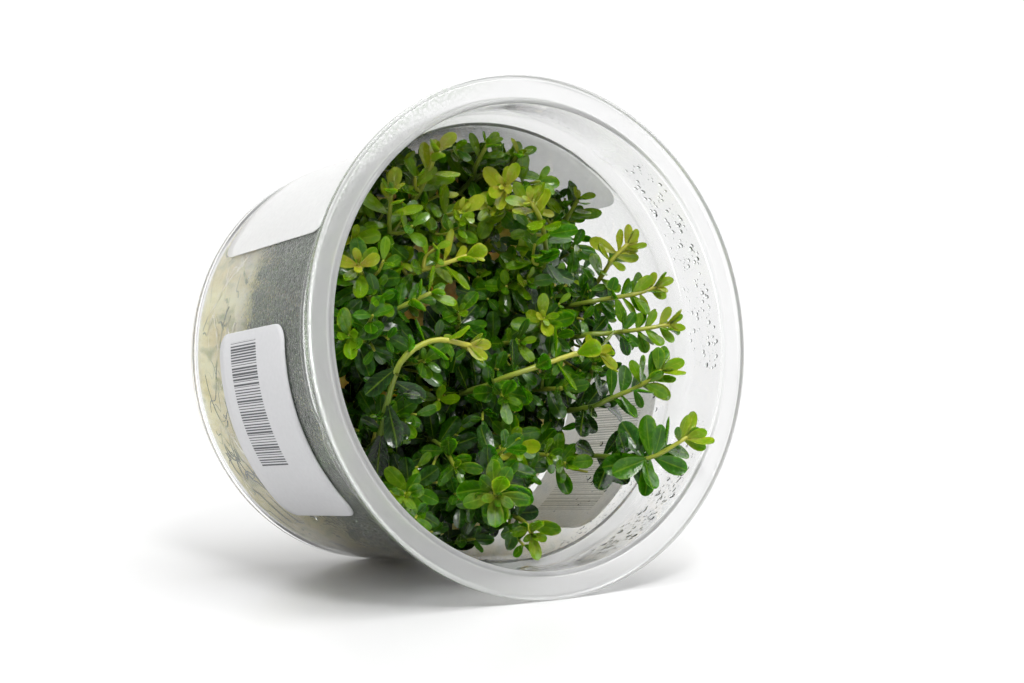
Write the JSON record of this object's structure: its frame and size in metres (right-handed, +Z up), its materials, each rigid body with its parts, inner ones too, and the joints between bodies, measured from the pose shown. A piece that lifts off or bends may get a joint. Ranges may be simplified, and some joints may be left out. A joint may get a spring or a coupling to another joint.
{
  "type": "tissue culture cup of dwarf rotala",
  "caption": "A clear plastic cup lying on its side, open at the mouth, with dwarf rotala shoots growing out of a plug of nutrient gel in its base.",
  "frame": {"origin": "middle of the footprint's bounding box, on the surface that the cup lies on", "axes": "+Z up; the mouth faces -Y and is tipped up by 8.6 degrees; +X is to the right for someone who looks into the mouth"},
  "size_m": [0.1, 0.0834, 0.0989],
  "materials": {
    "cup": "satin",
    "label": "satin",
    "gel": "gloss",
    "shoot": "satin"
  },
  "bodies": {
    "root": {"cup": "cup", "gel": "gel", "label_low": "label", "label_side": "label", "label_top": "label", "shoot_arch": "shoot", "shoot_bright": "shoot", "shoot_bright_low": "shoot", "shoot_centre": "shoot", "shoot_centre_top": "shoot", "shoot_droop": "shoot", "shoot_far_right": "shoot", "shoot_fill_01": "shoot", "shoot_fill_02": "shoot", "shoot_fill_03": "shoot", "shoot_fill_04": "shoot", "shoot_fill_05": "shoot", "shoot_fill_06": "shoot", "shoot_fill_07": "shoot", "shoot_fill_08": "shoot", "shoot_fill_09": "shoot", "shoot_front": "shoot", "shoot_left": "shoot", "shoot_left_bud": "shoot", "shoot_left_mid": "shoot", "shoot_left_tip": "shoot", "shoot_long": "shoot", "shoot_low_left": "shoot", "shoot_low_right": "shoot", "shoot_low_tip": "shoot", "shoot_lower_right": "shoot", "shoot_mid_left": "shoot", "shoot_mid_low": "shoot", "shoot_mid_right": "shoot", "shoot_right": "shoot", "shoot_right_low": "shoot", "shoot_right_mid": "shoot", "shoot_right_shade": "shoot", "shoot_right_up": "shoot", "shoot_top": "shoot", "shoot_top_left": "shoot", "shoot_top_right": "shoot", "shoot_yellow": "shoot"}
  },
  "joints": []
}
